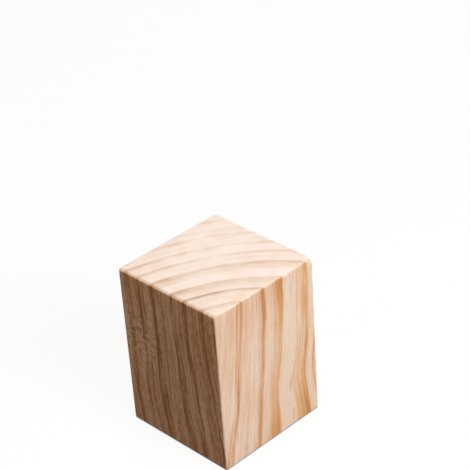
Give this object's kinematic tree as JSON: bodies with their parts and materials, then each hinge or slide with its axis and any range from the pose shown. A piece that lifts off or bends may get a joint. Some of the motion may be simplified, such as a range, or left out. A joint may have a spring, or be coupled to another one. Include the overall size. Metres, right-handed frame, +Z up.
{
  "type": "wooden block",
  "caption": "Square-section solid pine block, a little taller than wide, with eased edges and growth rings on its sawn ends, for standing, stacking, propping or spacing things.",
  "frame": {"origin": "centre of the lower end face, on which the block stands", "axes": "+Z up along the grain, +X and +Y out of two neighbouring side faces"},
  "size_m": [0.05, 0.05, 0.068],
  "materials": {
    "pine": "planed and lightly sanded, bare"
  },
  "bodies": {
    "root": {"block": "pine"}
  },
  "joints": []
}
